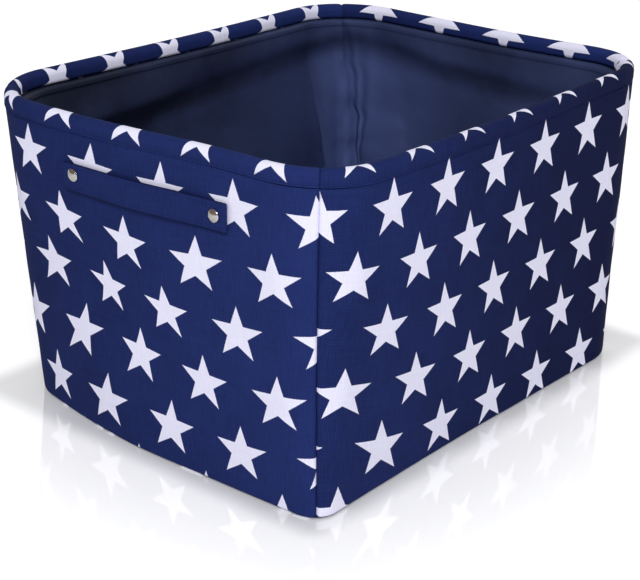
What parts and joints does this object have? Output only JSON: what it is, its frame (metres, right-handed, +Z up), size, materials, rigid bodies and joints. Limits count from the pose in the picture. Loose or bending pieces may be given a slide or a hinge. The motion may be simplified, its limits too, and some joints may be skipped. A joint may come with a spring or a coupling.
{
  "type": "fabric storage bin",
  "caption": "Open-topped rectangular storage bin of printed canvas on a wire rim, stiffened and lined, with riveted canvas strap handles on the short sides.",
  "frame": {"origin": "centre of the underside, where the bin stands", "axes": "+X along the long side, +Y across to the back, +Z up out of the mouth"},
  "size_m": [0.4591, 0.352, 0.25],
  "materials": {
    "canvas": "plain-weave cotton canvas, navy with a printed pattern of pale five-pointed stars",
    "strap": "plain navy canvas, doubled and edge stitched",
    "lining": "dark navy satin-like polyester",
    "stiffener": "pale non-woven felt",
    "board": "uncoated grey board",
    "wire": "drawn steel wire",
    "sleeve": "crimped tube",
    "rivets": "polished nickel plate"
  },
  "bodies": {
    "base": {"outer_base": "canvas", "base_board": "board", "lining_base": "lining", "outer_front": "canvas", "stiffener_front": "stiffener", "lining_front": "lining", "outer_right": "canvas", "stiffener_right": "stiffener", "lining_right": "lining", "outer_back": "canvas", "stiffener_back": "stiffener", "lining_back": "lining", "outer_left": "canvas", "stiffener_left": "stiffener", "lining_left": "lining"},
    "rim": {"hem_front": "canvas", "hem_right": "canvas", "hem_back": "canvas", "hem_left": "canvas", "rim_filling_front": "stiffener", "rim_filling_right": "stiffener", "rim_filling_back": "stiffener", "rim_filling_left": "stiffener", "rim_wire": "wire", "wire_sleeve": "sleeve"},
    "left_handle": {"left_rivets": "rivets", "left_rivet_backs": "rivets"},
    "right_handle": {"right_rivets": "rivets", "right_rivet_backs": "rivets"},
    "left_grip": {"left_strap": "strap"},
    "right_grip": {"right_strap": "strap"}
  },
  "joints": [
    {"name": "rim_collapse", "type": "slide", "parent": "base", "child": "rim", "axis": [0, 0, 1], "range_m": [-0.145, 0], "deforming": ["outer_front", "stiffener_front", "lining_front", "outer_right", "stiffener_right", "lining_right", "outer_back", "stiffener_back", "lining_back", "outer_left", "stiffener_left", "lining_left"]},
    {"name": "left_handle_drop", "type": "slide", "parent": "base", "child": "left_handle", "axis": [0, 0, 1], "range_m": [-0.1252, 0]},
    {"name": "right_handle_drop", "type": "slide", "parent": "base", "child": "right_handle", "axis": [0, 0, 1], "range_m": [-0.1252, 0]},
    {"name": "left_strap_lift", "type": "slide", "parent": "left_handle", "child": "left_grip", "axis": [-1, 0, 0], "range_m": [0, 0.015], "deforming": ["left_strap"]},
    {"name": "right_strap_lift", "type": "slide", "parent": "right_handle", "child": "right_grip", "axis": [1, 0, 0], "range_m": [0, 0.015], "deforming": ["right_strap"]}
  ],
  "couplings": [
    {"joint": "left_handle_drop", "follows": "rim_collapse", "ratio": 0.8625},
    {"joint": "right_handle_drop", "follows": "rim_collapse", "ratio": 0.8625}
  ]
}
